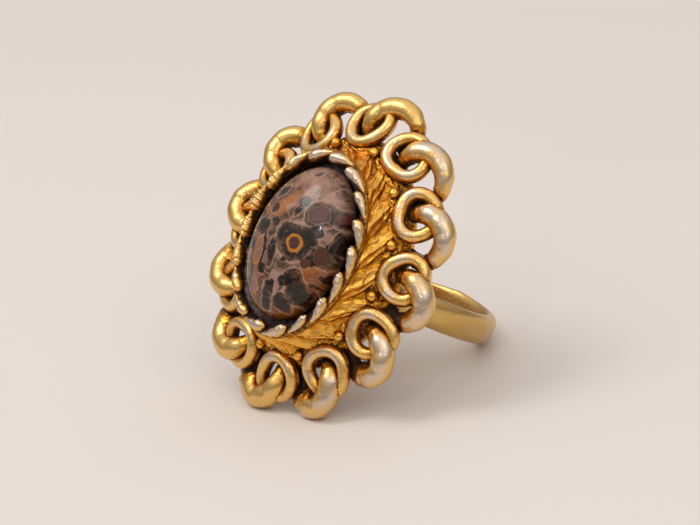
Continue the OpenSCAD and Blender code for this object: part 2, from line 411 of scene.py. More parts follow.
# ---- Leopardskin jasper ----
# A spot is its centre across and along (mm), half width (mm), length over width, and clockwise turn (degrees).
BLOBS = [
    (0.5, 0.5, 0.95, 1.1, 0), (1.7, 0.1, 1.55, 1.0, 0), (2.6, 0.95, 0.9, 1.1, 30),
    (2.8, -2.8, 0.85, 1.1, 20), (3.5, -3.7, 1.0, 1.15, 25), (2.3, -5.1, 0.72, 1.1, 0),
    (0.8, -4.6, 0.62, 1.4, 10), (0.75, -5.9, 0.5, 1.3, 30), (-0.15, -1.5, 0.5, 2.6, -14),
    (-1.35, -1.6, 0.36, 4.4, -14), (-2.3, 0.0, 0.55, 1.5, 30), (-3.9, 0.9, 0.5, 1.6, 30),
    (2.5, 3.3, 1.2, 1.0, 0), (4.0, 3.8, 0.85, 1.0, 0), (4.25, 0.1, 0.95, 1.0, 0),
    (4.85, 1.9, 0.6, 1.6, 0), (-2.6, 3.6, 0.45, 1.8, 30), (0.5, 2.9, 0.35, 1.9, 10),
    (-3.6, -1.9, 0.6, 1.6, 0), (-3.4, -4.2, 0.6, 1.4, -20), (-4.3, 2.4, 0.5, 1.4, 10),
    (3.3, -1.1, 0.5, 1.0, 0), (-0.6, 6.3, 0.4, 1.6, 80), (2.9, 5.6, 0.5, 1.4, 60),
]
# Patches of colour in the ground: a spot and its tint
PATCHES = [
    (-1.2, 2.7, 0.85, 2.3, 33, (0.40, 0.13, 0.035)), (-2.6, 1.7, 0.5, 2.2, 40, (0.33, 0.10, 0.03)),
    (-0.2, 3.3, 0.35, 3.4, 25, (0.38, 0.22, 0.17)), (0.3, 4.0, 0.6, 2.2, 20, (0.30, 0.13, 0.07)),
    (4.3, -2.2, 1.25, 1.7, 20, (0.24, 0.065, 0.008)), (3.8, -1.4, 0.6, 1.0, 0, (0.36, 0.12, 0.025)),
    (2.6, -6.0, 1.0, 1.8, 60, (0.20, 0.06, 0.008)), (1.2, -3.1, 0.5, 1.6, 60, (0.36, 0.22, 0.18)),
    (1.3, 1.9, 0.4, 2.0, 80, (0.28, 0.17, 0.13)), (3.6, 1.8, 0.6, 1.5, 70, (0.32, 0.20, 0.15)),
    (0.4, 5.4, 0.9, 1.5, 80, (0.21, 0.085, 0.06)), (2.4, 5.0, 0.7, 1.4, 40, (0.34, 0.23, 0.20)),
    (1.5, -4.0, 0.4, 1.8, 10, (0.33, 0.19, 0.17)), (4.5, -0.9, 0.4, 1.4, 0, (0.3, 0.10, 0.04)),
]
# Eyes that lie over the blobs: a spot and its kind
ORBS = [
    (1.72, 0.1, 0.8, 1.0, 0, "eye"), (-1.9, -2.1, 0.62, 2.1, -13, "rim"), (-1.1, -4.3, 0.5, 2.9, -17, "tan"),
    (2.5, 3.3, 0.85, 1.0, 0, "ring"), (4.0, 3.8, 0.5, 1.0, 0, "red"), (4.27, 0.1, 0.62, 1.0, 0, "brown"),
    (3.35, -1.1, 0.42, 1.0, 0, "brown"), (2.85, -2.3, 0.3, 1.0, 0, "brown"),
    (-0.15, -2.5, 0.2, 1.6, 0, "brown"),
]
# Each kind of eye: its core's strength and colour, then its rings as (place, width, strength, colour)
EYE_KINDS = {
    "eye": (1.0, (0.09, 0.022, 0.012), [(0.88, 0.3, 0.97, (0.58, 0.19, 0.012)),
                                        (0.45, 0.2, 0.6, (0.02, 0.012, 0.012))]),
    "rim": (0.95, (0.26, 0.12, 0.09), [(0.95, 0.2, 0.9, (0.55, 0.19, 0.03))]),
    "tan": (0.95, (0.26, 0.12, 0.09), [(0.95, 0.2, 0.5, (0.55, 0.19, 0.03))]),
    "ring": (0.9, (0.15, 0.075, 0.065), [(1.0, 0.1, 0.7, (0.33, 0.22, 0.13))]),
    "red": (0.9, (0.12, 0.028, 0.022), []),
    "brown": (0.9, (0.10, 0.035, 0.016), [(1.05, 0.14, 0.55, (0.24, 0.12, 0.05))]),
}


def rippled(nt, co):
    """Ring coordinates flattened to the plane of the girdle and rippled, so that no outline is a circle."""
    waves = node_noise(nt, co, 0.9, output='Color')
    ripple = vector_math(nt, 'MULTIPLY_ADD', waves, (0.8, 0.8, 0), (-0.4, -0.4, 0))
    return vector_math(nt, 'ADD', vector_math(nt, 'MULTIPLY', co, (1, 1, 0)), ripple)


def spot_distance(nt, flat, x, y, radius, stretch, turn):
    """Distance from a stretched spot's middle, in its own radii."""
    place = mapping(nt, flat, (x, y, 0), (0, 0, math.radians(-turn)), (radius, radius * stretch, 1))
    return vector_math(nt, 'LENGTH', place)


def jasper_ground(nt, co, broad, middling, small):
    """Tan and pinkish grey, browner low down, with streaks of orange at the upper left; also gives the mask of
    a pale painted reflection at the top.
    """
    parts = nt.nodes.new('ShaderNodeSeparateXYZ')
    nt.links.new(co, parts.inputs[0])
    x, y = parts.outputs['X'], parts.outputs['Y']
    col = mix(nt, remap(nt, middling, 0.42, 0.64), (0.040, 0.021, 0.013), (0.31, 0.155, 0.095))
    col = mix(nt, remap(nt, small, 0.56, 0.75), col, (0.42, 0.27, 0.21))
    col = mix(nt, remap(nt, broad, 0.46, 0.60, 0.0, 0.62), col, (0.075, 0.042, 0.026))
    low = remap(nt, y, -4.7, -6.0)
    low_right = times(nt, remap(nt, x, 3.0, 4.3), remap(nt, y, 0.0, -1.5))
    amber = math_node(nt, 'MAXIMUM', low, low_right)
    col = mix(nt, times(nt, amber, 0.9), col, (0.13, 0.04, 0.008))
    streak = remap(nt, node_noise(nt, co, 1.1, 5.0, 0.7, 2.2), 0.52, 0.66)
    upper_left = times(nt, remap(nt, x, 0.9, -0.9), remap(nt, y, 0.3, 2.0))
    col = mix(nt, times(nt, streak, upper_left), col, (0.4, 0.11, 0.015))
    # A pale patch at the top of the stone, painted in as a reflection.
    painted_top_reflection = times(nt, remap(nt, y, 3.6, 5.6), remap(nt, broad, 0.35, 0.6, 0.1, 0.7))
    return col, painted_top_reflection


def nearest_blob(nt, flat, small):
    """Distance to the nearest blob in its own radii, with scattered small cells between the placed ones."""
    near = None
    for blob in BLOBS:
        d = spot_distance(nt, flat, *blob)
        near = d if near is None else math_node(nt, 'SMOOTH_MIN', near, d, 0.12)
    scattered = cells(nt, flat, 'SMOOTH_F1', 0.62)
    scattered.inputs['Smoothness'].default_value = 0.25
    far = math_node(nt, 'ADD', remap(nt, scattered.outputs['Distance'], 0.30, 0.44), 0.72)
    return nudged(nt, math_node(nt, 'MINIMUM', near, far), centred(nt, small), 0.28)


def jasper():
    m, nt, bs = new_mat("leopard_jasper")
    co = ring_coords(nt)
    flat = rippled(nt, co)
    broad = node_noise(nt, co, 0.55, 5.0, 0.6, 0.6)
    middling = node_noise(nt, co, 2.2, 5.0, 0.65, 0.8)
    small = node_noise(nt, co, 7.0, 4.0, 0.7)
    col, painted_top_reflection = jasper_ground(nt, co, broad, middling, small)
    for *spot, tint in PATCHES:
        d = nudged(nt, spot_distance(nt, flat, *spot), centred(nt, middling), 1.4)
        col = mix(nt, remap(nt, d, 0.55, 1.05, 0.92, 0.0), col, tint)
    # Dark rounded blobs, each with a pale seam round it
    edge = nearest_blob(nt, flat, small)
    col = mix(nt, times(nt, line_at(nt, edge, 1.14, 0.16), 0.62), col, (0.50, 0.30, 0.20))
    dark = mix(nt, remap(nt, middling, 0.45, 0.66), (0.006, 0.004, 0.003), (0.030, 0.018, 0.013))
    inside = one_minus(nt, remap(nt, edge, 0.64, 1.14))
    col = mix(nt, times(nt, inside, 0.95), col, dark)
    for *spot, kind in ORBS:
        strength, tint, circles = EYE_KINDS[kind]
        d = nudged(nt, spot_distance(nt, flat, *spot), centred(nt, small), 0.3)
        core = one_minus(nt, remap(nt, d, 0.62, 1.12))
        col = mix(nt, times(nt, core, strength), col, tint)
        for at, width, cover, shade in circles:
            col = mix(nt, times(nt, line_at(nt, d, at, width), cover), col, shade)
    # Pale hairlines, and a pale painted reflection at the top
    hair = cells(nt, flat, 'DISTANCE_TO_EDGE', 0.55).outputs['Distance']
    line = one_minus(nt, remap(nt, hair, 0.0, 0.05))
    col = mix(nt, times(nt, line, remap(nt, broad, 0.46, 0.6, 0.0, 0.32)), col, (0.5, 0.32, 0.22))
    col = mix(nt, painted_top_reflection, col, (0.42, 0.23, 0.16))
    nt.links.new(col, bs.inputs['Base Color'])
    nt.links.new(remap(nt, small, 0.3, 0.75, 0.10, 0.19), bs.inputs['Roughness'])
    bs.inputs['Coat Weight'].default_value = 0.3
    bs.inputs['Coat Roughness'].default_value = 0.05
    bs.inputs['Specular IOR Level'].default_value = 0.24
    bs.inputs['IOR'].default_value = 1.5
    bump(nt, bs, nudged(nt, small, middling, 1.2), 0.10, 0.00006)
    return m


# ---- Stone: an oval dome on a short girdle that tucks in below ----
def build_stone():
    cols, rows, girdle_rows = 144, 40, 6
    girdle_drop, tuck = 1.0, 0.93
    dome_power, near_top = 2.1, 0.985
    rings = []
    for i in range(rows + 1):
        if i < girdle_rows:
            f = i / girdle_rows
            z = lerp(GIRDLE_Z - girdle_drop, GIRDLE_Z, f)
            s = lerp(tuck, 1.0, math.sin(f * math.pi / 2))
        else:
            f = math.sin((i - girdle_rows) / (rows - girdle_rows) * math.pi / 2 * near_top)
            z = GIRDLE_Z + DOME * f
            s = math.pow(max(1 - math.pow(f, dome_power), 0.0), 0.5)
        rings.append([oval(STONE_A * s, STONE_B * s, -2 * math.pi * j / cols, z) for j in range(cols)])
    verts, faces = tube(rings)
    make("stone_gem", verts, faces, None, jasper(), "stone")


# ---- Cement: a lumpy bed that shows in the gap round the stone ----
# Its section: (outward from the stone's edge, height above the girdle), mm
CEMENT_SECTION = [(0.0, -1.2), (1.05, -1.25), (1.12, -0.7), (0.85, -0.35), (0.5, -0.15), (0.15, -0.05),
                  (-0.25, -0.15), (-0.5, -0.9)]


def build_cement():
    cols, spread, under = 220, 0.85, 0.02
    rings = []
    for j in range(cols):
        t = -2 * math.pi * j / cols
        # It stands highest at the lower left.
        lift = lerp(-0.75, 0.8, smooth(0.3, 0.95, -0.75 * math.sin(t) - 0.66 * math.cos(t)))
        row = []
        for g, z in CEMENT_SECTION:
            a, b = STONE_A - under + g * spread, STONE_B - under + g * spread
            p = oval(a, b, t, GIRDLE_Z - 0.25 + z + lift * smooth(-1.2, -0.2, z))
            lump = Vector((0, 0, 0.32 * fbm(p, 1.6, 4) * smooth(-1.0, -0.2, z)))
            row.append(p + lump + oval_out(1, 1, t) * 0.12 * fbm(p, 2.7, 3))
        rings.append(row)
    verts, faces = tube(rings, True)
    make("cement_bed", verts, faces, None, cement(), "stone_cement")


# ---- Rope rim: overlapping almond grains on a thin wire ----
# A grain's radius along its length, from its head (inner side, high) to its tail (outer side, low)
GRAIN_R = 0.56
GRAIN_SHAPE = [(0, 0.04), (0.04, 0.45), (0.12, 0.86), (0.28, 1.0), (0.5, 0.78), (0.75, 0.42), (0.92, 0.2),
               (1, 0.03)]
NOTCH_PITCH = 0.52


def build_grains():
    rows, sides, head_share = 34, 16, 0.42
    verts, faces, wear_and_highlight, patina_and_shade = [], [], [], []
    for k, t0 in enumerate(even_turns(RIM_A, RIM_B, GRAINS, 0.15)):
        # No two grains are quite alike.
        size = 1 + 0.10 * math.sin(k * 2.4) + 0.06 * math.sin(k * 5.1)
        length = RIM_ROUND / GRAINS * (1.26 + 0.08 * math.sin(k * 1.7))
        # On the left side the grains are crossed by fine notches, and on the right they are rubbed bright and
        # painted with highlights.
        notched = smooth(0.72, 0.93, -math.sin(t0))
        rubbed_and_highlighted = lerp(0.36, 1.0, smooth(-0.95, 0.1, math.sin(t0)))
        rings = []
        for i in range(rows + 1):
            f = i / rows
            along = (f - head_share) * length
            t = t0 + along / math.hypot(RIM_A * math.cos(t0), RIM_B * math.sin(t0))
            r = GRAIN_R * size * table(GRAIN_SHAPE, f)
            r *= 1 + 0.2 * notched + 0.13 * notched * math.cos(along * 2 * math.pi / NOTCH_PITCH)
            slide = lerp(-0.42, 0.22, f) + 0.05 * math.sin(k * 3.3)
            c = oval(RIM_A, RIM_B, t, RIM_Z + lerp(0.16, -0.2, f))
            out = oval_out(RIM_A, RIM_B, t)
            crown = math.sin(math.pi * min(1, 0.12 + f * 0.95))
            ring = []
            for j in range(sides):
                q = 2 * math.pi * j / sides
                p = c + out * (slide + 0.95 * r * math.cos(q)) + Vector((0, 0, 0.98 * r * math.sin(q)))
                p += (p - c) * 0.2 * fbm(p, 2.2, 3)
                ring.append(p)
                # Tops are painted pale, part rubbing and part painted highlight; undersides are painted dark as
                # shade.
                wear_and_highlight.append(clamp(0.1 + rubbed_and_highlighted * math.sin(q) * crown))
                patina_and_shade.append(0.75 * clamp(-0.15 - math.sin(q)))
            rings.append(ring)
        grain_verts, grain_faces = tube(rings)
        base = len(verts)
        verts += grain_verts
        faces += [tuple(i + base for i in face) for face in grain_faces]
        wear_and_highlight += [0.2, 0.2]
        patina_and_shade += [0.2, 0.2]
    make("rope_rim_grains", verts, faces, wear_and_highlight, MAT_ROPE, "rope_rim", patina_and_shade)


def build_rim_wire():
    cols, sides, half_wide, half_high = 400, 10, 0.42, 0.36
    rings = []
    for i in range(cols):
        t = 2 * math.pi * i / cols
        c = oval(RIM_A - 0.02, RIM_B - 0.02, t, RIM_Z - 0.3)
        out = oval_out(RIM_A, RIM_B, t)
        turns = [2 * math.pi * j / sides for j in range(sides)]
        rings.append([c + out * half_wide * math.cos(q) + UP * half_high * math.sin(q) for q in turns])
    verts, faces = tube(rings, True)
    # The wire under the grains is painted half dark, as patina and painted shade.
    make("rope_rim_wire", verts, faces, [0.0] * len(verts), MAT_ROPE, "rope_rim", [0.5] * len(verts))


# ---- Leaf collar: pointed leaves on a sloping wall, one to each grain ----
# How far the wall stands out from the rim's inner line, from its top (0) to its foot (1)
COLLAR_FLARE = [(0, 0.4), (0.25, 0.5), (0.6, 0.8), (0.85, 1.12), (1, 1.4)]
# How far a leaf leans clockwise as it comes down, in leaves
LEAF_LEAN = 0.95


def build_collar():
    cols, rows = GRAINS * 36, 30
    top, foot = RIM_Z - 0.3, PLATE_TOP - 0.25
    rings, wear_and_highlight, patina_and_shade = [], [], []
    for i in range(cols):
        t = -2 * math.pi * i / cols
        out = oval_out(RIM_A, RIM_B, t)
        row, row_wear_and_highlight, row_patina_and_shade = [], [], []
        for j in range(rows + 1):
            s = j / rows
            flare = table(COLLAR_FLARE, s) - 0.15
            # x counts the leaves round the rim, and edge is 0 on a leaf's middle line and 1 at its sides.
            x = (-t) * GRAINS / (2 * math.pi) - LEAF_LEAN * s + 0.15
            x += 0.16 * fbm(Vector((math.cos(t) * 3, math.sin(t) * 3, s * 2)), 1.3, 3)
            across = abs(x % 1.0 - 0.5)
            edge = across * 2
            ridge = math.pow(edge, 2.8)
            # Two ribs start together at the top of each leaf and spread as they come down.
            strength = 0.75 + 0.25 * math.sin(math.floor(x) * 2.1)
            rib_at = 0.34 * s
            rib = math.exp(-((across - rib_at) / 0.075) ** 2) * smooth(0.15, 0.45, s) * strength
            hollow = 0.30 * (1 - edge) * smooth(0.0, 0.25, s) * (1 - smooth(0.75, 1.0, s))
            d = 0.34 * ridge + 0.24 * rib - hollow
            p = oval(RIM_A + flare, RIM_B + flare, t, lerp(top, foot, s))
            uneven = 0.10 * fbm(p, 1.4, 3)
            p += out * (d * smooth(0.0, 0.1, s) * lerp(1.0, 0.6, s) + uneven) + Vector((0, 0, d * 0.3))
            row.append(p)
            # Ridges and ribs are painted pale, part rubbing and part painted highlight; the flutes between them
            # and the top of the wall are painted dark, part patina and part painted shade.
            row_wear_and_highlight.append(clamp(0.8 * ridge + 0.55 * rib))
            shade = clamp(0.36 - 0.8 * ridge - 0.6 * rib) * (1 - smooth(0.6, 1.05, s))
            row_patina_and_shade.append(shade + 0.3 * (1 - smooth(0.0, 0.15, s)))
        # Close the section against the cup.
        row += [oval(RIM_A - 0.1, RIM_B - 0.1, t, foot), oval(RIM_A - 0.14, RIM_B - 0.14, t, top)]
        rings.append(row)
        wear_and_highlight += row_wear_and_highlight + [0.0, 0.0]
        patina_and_shade += row_patina_and_shade + [0.9, 0.9]
    verts, faces = tube(rings, True)
    make("leaf_collar_wall", verts, faces, wear_and_highlight, MAT_PLATE, "leaf_collar", patina_and_shade)


# ---- Head plate: rough cast ground, sloping from the collar out between the links ----
# Its section from the underside round the edge to the top: (outward from the rim, height), mm
PLATE_SECTION = [(0.35, PLATE_UNDER), (1.2, PLATE_UNDER), (1.9, -0.42), (2.2, -0.1), (2.32, 0.45),
                 (2.2, 0.85), (2.0, 1.15), (1.85, 1.35), (1.7, 1.55), (1.55, 1.7), (1.4, 1.85), (1.25, 1.97),
                 (1.1, 2.06), (0.9, 2.15), (0.7, PLATE_TOP), (0.4, PLATE_TOP)]


def plate_section():
    """The section with each step of its upper part cut in three."""
    points = []
    for (g0, z0), (g1, z1) in zip(PLATE_SECTION, PLATE_SECTION[1:]):
        steps = 3 if z0 > 0.4 else 1
        points += [(lerp(g0, g1, s / steps), lerp(z0, z1, s / steps)) for s in range(steps)]
    return points + [PLATE_SECTION[-1]]


def build_plate():
    cols, under_rings = 480, 16
    lip_r, lip_wide, lip_high = 2.45, 0.35, 0.22
    section = plate_section()
    centres = [link_frame(k)[0] for k in range(LINKS)]
    verts, wear_and_highlight, patina_and_shade = [], [], []
    for i in range(cols):
        t = -2 * math.pi * i / cols
        out = oval_out(RIM_A, RIM_B, t)
        for g, z in section:
            p = oval(RIM_A + g, RIM_B + g * LENGTHWISE, t, z)
            top = smooth(0.6, 1.2, z)
            # The ground rises in a lip against each inner link, and dips between.
            near = min((Vector((p.x - c.x, p.y - c.y, 0))).length for c in centres)
            lip = lip_high * math.exp(-((near - lip_r) / lip_wide) ** 2)
            rough = 0.26 * fbm(p, 1.7, 4) + 0.14 * fbm(p, 4.2, 3)
            p += Vector((0, 0, (lip + rough) * top)) + out * rough * 0.8 * smooth(-0.3, 0.3, z)
            verts.append(p)
            # High lumps are painted pale and low ones dark: rubbing and patina, with painted highlight and
            # painted shade.
            wear_and_highlight.append(clamp(0.15 + rough * 3.0) * top)
            patina_and_shade.append(clamp(0.12 - rough * 2.0))
    m = len(section)
    faces = []
    for i in range(cols):
        here, ahead = i * m, (i + 1) % cols * m
        faces += [(here + j, ahead + j, ahead + j + 1, here + j + 1) for j in range(m - 1)]
    # The underside is a gently uneven casting, in rings from the edge to the middle.
    edge = [Vector(verts[i * m]) for i in range(cols)]
    before = [i * m for i in range(cols)]
    for step in range(1, under_rings):
        here = []
        for v in edge:
            p = Vector((v.x, v.y, 0)) * (1 - step / under_rings)
            bumps = fbm(p, 0.5, 4)
            here.append(len(verts))
            verts.append(Vector((p.x, p.y, PLATE_UNDER + 0.08 * bumps)))
            wear_and_highlight.append(0.25)
            patina_and_shade.append(clamp(0.15 - 0.5 * bumps))
        faces += [(before[i], here[i], here[(i + 1) % cols], before[(i + 1) % cols]) for i in range(cols)]
        before = here
    low, high = len(verts), len(verts) + 1
    verts += [Vector((0, 0, PLATE_UNDER)), Vector((0, 0, PLATE_TOP))]
    wear_and_highlight += [0.2, 0.0]
    patina_and_shade += [0.2, 0.5]
    for i in range(cols):
        faces.append((before[i], low, before[(i + 1) % cols]))
        faces.append((i * m + m - 1, (i + 1) % cols * m + m - 1, high))
    make("head_ground", verts, faces, wear_and_highlight, MAT_PLATE, "head_plate", patina_and_shade)


# ---- Inner links: round rings that lie on the ground and tilt up towards the cup ----
INNER_R = 1.85
INNER_WIRE_R = 0.61
INNER_TILT = math.radians(22)


def build_inner(k):
    c, along, out = link_frame(k)
    rows, sides = 72, 18
    slope = out * math.cos(INNER_TILT) - UP * math.sin(INNER_TILT)
    normal = out * math.sin(INNER_TILT) + UP * math.cos(INNER_TILT)
    centre = c + UP * LINK_Z
    rings, wear_and_highlight, patina_and_shade = [], [], []
    for i in range(rows):
        a = 2 * math.pi * i / rows
        e = along * math.cos(a) + slope * math.sin(a)
        # A little out of round, and fuller on the side next to the cup, where it runs into the ground.
        ring_r = INNER_R * (1 + 0.05 * math.sin(a * 2 + k) + 0.04 * math.sin(a * 3 + 2 * k))
        r = INNER_WIRE_R * (1 + 0.08 * smooth(0.2, -1.0, math.sin(a)))
        outer_half = smooth(-1.3, 0.4, -math.sin(a))
        ring = []
        for j in range(sides):
            q = -2 * math.pi * j / sides
            p = centre + e * (ring_r + r * math.cos(q)) + normal * (r * 1.04 * math.sin(q))
            p += (e * math.cos(q) + normal * math.sin(q)) * 0.02 * fbm(p, 1.2, 2)
            ring.append(p)
            # Tops on the outer half are painted pale, part rubbing and part painted highlight; undersides and
            # the inner side are painted dark as shade.
            wear_and_highlight.append(clamp(0.05 + 0.72 * math.sin(q) * outer_half))
            patina_and_shade.append(0.8 * clamp(0.1 - 0.8 * math.sin(q) - 0.3 * math.cos(q)))
        rings.append(ring)
    verts, faces = tube(rings, True)
    make(f"inner_link_ring_{k + 1:02d}", verts, faces, wear_and_highlight, MAT_LINK, f"inner_link_{k + 1:02d}", patina_and_shade)


# ---- Outer links: fat horns that rise through an inner link, arch outward and end in a thin tail ----
# A horn's height, and its half width and half depth as shares of the fullest, along the arch
HORN_HEIGHT = [(0, 0.35), (0.10, 0.78), (0.27, 0.86), (0.42, 0.66), (0.62, 0.32), (0.8, 0.12), (1, -0.05)]
HORN_WIDTH = [(0, 0.1), (0.03, 0.44), (0.08, 0.66), (0.16, 0.82), (0.28, 0.95), (0.42, 1.0), (0.6, 0.98),
              (0.75, 0.88), (0.88, 0.74), (1, 0.62)]
HORN_DEPTH = [(0, 0.1), (0.03, 0.46), (0.08, 0.7), (0.16, 0.87), (0.28, 0.98), (0.45, 1.0), (0.6, 0.98),
              (0.75, 0.9), (0.88, 0.76), (1, 0.6)]
HORN_HALF_WIDE, HORN_HALF_DEEP = 1.02, 0.99
# The arch: where it starts and ends (degrees), how far it rises outward, and how many steps it has
HORN_START, HORN_END, HORN_RISE, ARCH = 208, 12, 2.37, 84
# Horns at the foot of the head are fatter by this share.
LOW_SWELL = 0.12
TAIL_STEPS = 8


def horn_lowness(k):
    """0 for a horn at the top of the head, 1 for one at its foot."""
    return (1 - math.cos(LINK_TURNS[k])) / 2


def horn_path(k):
    """Points along a horn's arch and tail: along, outward, up, half width and half depth."""
    side_share = math.sin(LINK_TURNS[k]) ** 2
    run = 2.45 - 0.45 * side_share
    cx, cy = run - 0.2, -0.25 + 0.45 * side_share
    fat = 1 + LOW_SWELL * horn_lowness(k)
    path = []
    for i in range(ARCH + 1):
        f = i / ARCH
        q = math.radians(lerp(HORN_START, HORN_END, f))
        half_wide = HORN_HALF_WIDE * fat * table(HORN_WIDTH, f)
        half_deep = HORN_HALF_DEEP * fat * table(HORN_DEPTH, f)
        x, y = cx + run * math.cos(q), cy + HORN_RISE * math.sin(q)
        path.append((x, y, table(HORN_HEIGHT, f), half_wide, half_deep))
    end = cx + run
    web = 0.62 + 0.5 * horn_lowness(k)
    tail = [path[-1], (end - 0.2, -0.5, -0.05, web, 0.5), (end - 0.65, -1.2, 0.0, web, 0.45),
            (end - 1.3, -1.8, 0.2, web * 0.8, 0.4)]
    for p0, p1 in zip(tail, tail[1:]):
        for s in range(1, TAIL_STEPS + 1):
            g = s / TAIL_STEPS
            # The place runs straight from point to point, and the thickness eases.
            shares = (g, g, g, smooth(0, 1, g), smooth(0, 1, g))
            path.append(tuple(lerp(a, b, share) for a, b, share in zip(p0, p1, shares)))
    return path


def build_outer(k):
    c, along, out = link_frame(k)
    sides = 32
    path = horn_path(k)
    # The links on the right have lost most of their gold; the others only a little.
    worn = 0.3 + 0.6 * smooth(-0.2, 0.8, math.cos(LINK_TURNS[k] - math.radians(80)))
    lowness = horn_lowness(k)
    lower = smooth(0.45, 0.9, lowness)
    rings, wear_and_highlight, patina_and_shade = [], [], []
    places = [c + along * p[0] + out * p[1] + UP * p[2] for p in path]
    for i, (place, (*_, half_wide, half_deep)) in enumerate(zip(places, path)):
        d = (places[min(i + 1, len(places) - 1)] - places[max(i - 1, 0)]).normalized()
        side = UP.cross(d).normalized()
        top = d.cross(side)
        f = i / ARCH
        # Lower down the head, a rough rusty web fills the arch towards its tail.
        web = 0.55 * lowness * smooth(0.62, 0.86, f) * (1 - smooth(1.0, 1.08, f))
        end_web = lower * smooth(0.76, 0.9, f)
        rubbed_and_highlighted = 1.05 * worn * smooth(0.05, 0.3, f) * (1 - smooth(0.85, 1.05, f))
        ends = 0.55 * smooth(0.86, 1.05, f) + 0.5 * (1 - smooth(0.0, 0.1, f))
        ring = []
        for j in range(sides):
            q = 2 * math.pi * j / sides
            across, high = math.cos(q), math.sin(q)
            inner = clamp(-across)
            p = place + side * ((half_wide + web) * across - web)
            p += top * (half_deep * high - 0.45 * web * inner)
            pitted = max(smooth(0.84, 1.0, f), end_web, web * inner * 1.5)
            p += (side * across + top * high) * (0.018 * fbm(p, 0.9, 2) + 0.22 * pitted * fbm(p, 3.2, 4))
            ring.append(p)
            rusty = max(web / 0.55 * smooth(0.5, -0.3, across), end_web * smooth(0.8, 0.3, across))
            # Tops and outer sides are painted pale, part rubbing and part painted highlight; undersides, inner
            # sides and the ends where the horn meets its link and its tail are painted dark, painted shade with
            # patina and rust.
            wear_and_highlight.append(clamp(0.1 + rubbed_and_highlighted * (high * 0.75 + across * 0.5)) * (1 - rusty))
            under = clamp(-0.45 * high - 0.65 * across)
            patina_and_shade.append(clamp(0.85 * under + ends + 0.35 * rusty))
        rings.append(ring)
    verts, faces = tube(rings)
    wear_and_highlight += [0.0, 0.0]
    patina_and_shade += [0.5, 0.8]
    make(f"outer_link_horn_{k + 1:02d}", verts, faces, wear_and_highlight, MAT_LINK, f"outer_link_{k + 1:02d}", patina_and_shade)


# ---- Beads: one between each two inner links ----
def build_beads():
    lat_steps, lon_steps, bead_out, bead_r, bead_z = 12, 20, 1.45, 0.5, 2.1
    a, b = RIM_A + bead_out, RIM_B + bead_out * LENGTHWISE
    for k, t in enumerate(even_turns(a, b, LINKS, PHASE * LINKS)):
        c = oval(a, b, t, bead_z)
        rings, wear_and_highlight = [], []
        for i in range(lat_steps + 1):
            # A hair short of each pole, so that no ring is a single point.
            lat = math.pi * (i + 0.02) / (lat_steps + 0.04) - math.pi / 2
            ring = []
            for j in range(lon_steps):
                lon = 2 * math.pi * j / lon_steps
                n = Vector((math.cos(lat) * math.cos(lon), math.cos(lat) * math.sin(lon), math.sin(lat)))
                ring.append(c + n * (bead_r + 0.05 * fbm(c + n, 1.8, 2)))
                # Tops are painted pale, part rubbing and part painted highlight.
                wear_and_highlight.append(clamp(0.15 + 0.55 * n.z))
            rings.append(ring)
        verts, faces = tube(rings)
        wear_and_highlight += [0.0, 0.6]
        make(f"bead_grain_{k + 1:02d}", verts, faces, wear_and_highlight, MAT_PLATE, f"bead_{k + 1:02d}")


# ---- Band: a flattened oval section, crowned outside, nearly flat inside, with tapered open ends ----
def build_band():
    first, last = -TIP_TURN, 360 - TIP_TURN - OPENING
    rows, sides = 300, 26
    middle_r, round_tip, inner_t = 9.4, 0.35, 0.42
    rings, wear_and_highlight = [], []
    for i in range(rows + 1):
        turn = lerp(first, last, i / rows)
        from_tip = math.radians(min(turn - first, last - turn)) * middle_r
        half = min(BAND_W / 2, TIP_HALF + (BAND_W / 2 - TIP_HALF) * from_tip / TAPER)
        half *= math.sqrt(clamp(1 - (1 - clamp(from_tip / round_tip)) ** 2, 0.02, 1))
        thick = BAND_T * (0.55 + 0.45 * math.sqrt(clamp(half / (BAND_W / 2), 0.1, 1)))
        out = Vector((math.sin(math.radians(turn)), 0, -math.cos(math.radians(turn))))
        ring = []
        for j in range(sides):
            a = 2 * math.pi * j / sides
            x, y = math.cos(a), math.sin(a)
            if x >= 0:
                r = FINGER_R + inner_t + (thick - inner_t) * abs(x) ** 0.9
            else:
                r = FINGER_R + inner_t - inner_t * abs(x) ** 0.45
            p = out * r + Vector((0, half * math.copysign(abs(y) ** 0.75, y), 0))
            p += Vector((0, -BAND_SHIFT, AXIS_Z))
            p += out * 0.02 * fbm(p, 0.6, 2)
            ring.append(p)
            wear_and_highlight.append(clamp(0.3 + 0.5 * x * smooth(150, 60, abs(turn))))
        rings.append(ring)
    verts, faces = tube(rings)
    wear_and_highlight += [0.2, 0.2]
    make("band_strip", verts, faces, wear_and_highlight, MAT_BAND, "band")


build_stone()
build_cement()
build_grains()
build_rim_wire()
build_collar()
build_plate()
for k in range(LINKS):
    build_inner(k)
    build_outer(k)
build_beads()
build_band()


# ---- Shelter: how closed-in each point is, which is where the dark patina and the painted shade sit ----
def open_directions(count):
    """Directions spread evenly over the upper half of a sphere."""
    golden = math.pi * (3 - math.sqrt(5))
    dirs = []
    for i in range(count):
        z = 0.12 + 0.88 * (i + 0.5) / count
        r = math.sqrt(1 - z * z)
        dirs.append((r * math.cos(i * golden), r * math.sin(i * golden), z))
    return dirs


